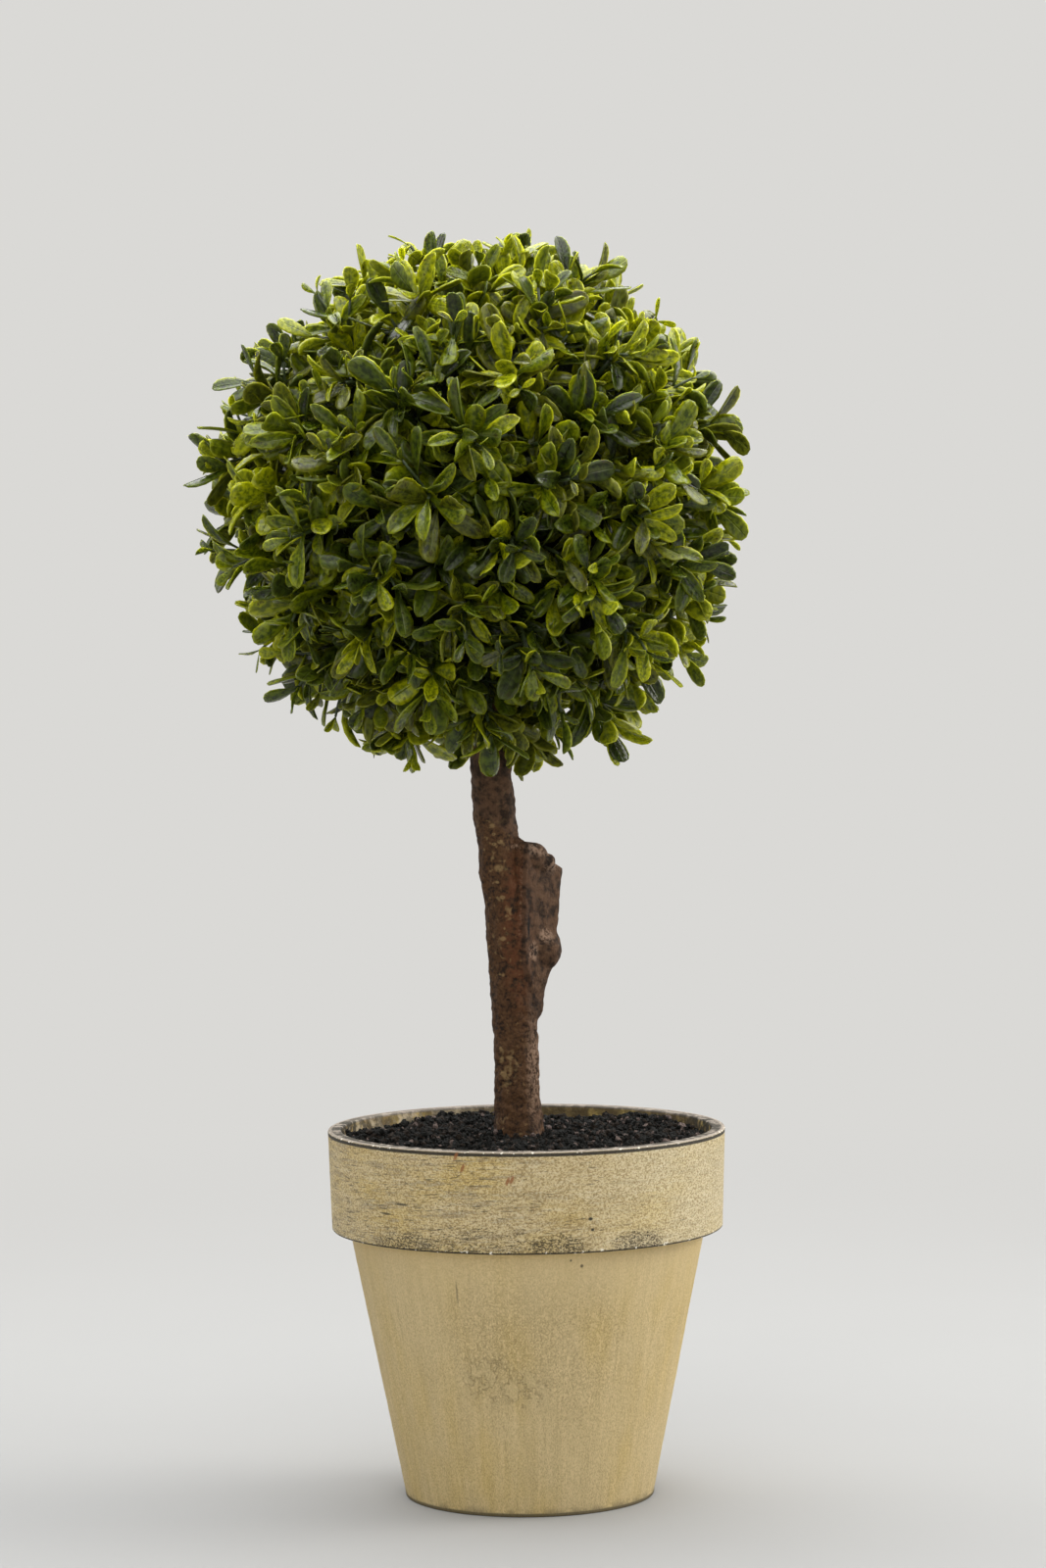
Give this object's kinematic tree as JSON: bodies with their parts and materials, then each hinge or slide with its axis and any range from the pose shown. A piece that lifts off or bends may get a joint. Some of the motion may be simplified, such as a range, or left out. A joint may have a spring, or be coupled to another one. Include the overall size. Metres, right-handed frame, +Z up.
{
  "type": "artificial boxwood ball tree in a clay pot",
  "caption": "Small artificial box tree clipped to a ball, on a leaning bare stem with a sawn side branch, set in a painted clay pot filled with dark granules.",
  "frame": {"origin": "middle of the pot's flat underside, on the surface that it stands on", "axes": "+Z up the pot's axis, -Y towards the front that the picture shows, +X to the right seen from there"},
  "size_m": [0.1711, 0.1698, 0.3842],
  "materials": {
    "painted_clay": "matte",
    "filling": "matte",
    "soil": "matte",
    "bark": "matte",
    "sawn_wood": "matte",
    "leaf": "satin"
  },
  "bodies": {
    "root": {"pot": "painted_clay", "filling": "filling", "soil": "soil", "trunk": "bark", "lopped_branch": "sawn_wood", "foliage_ball": "leaf"}
  },
  "joints": []
}
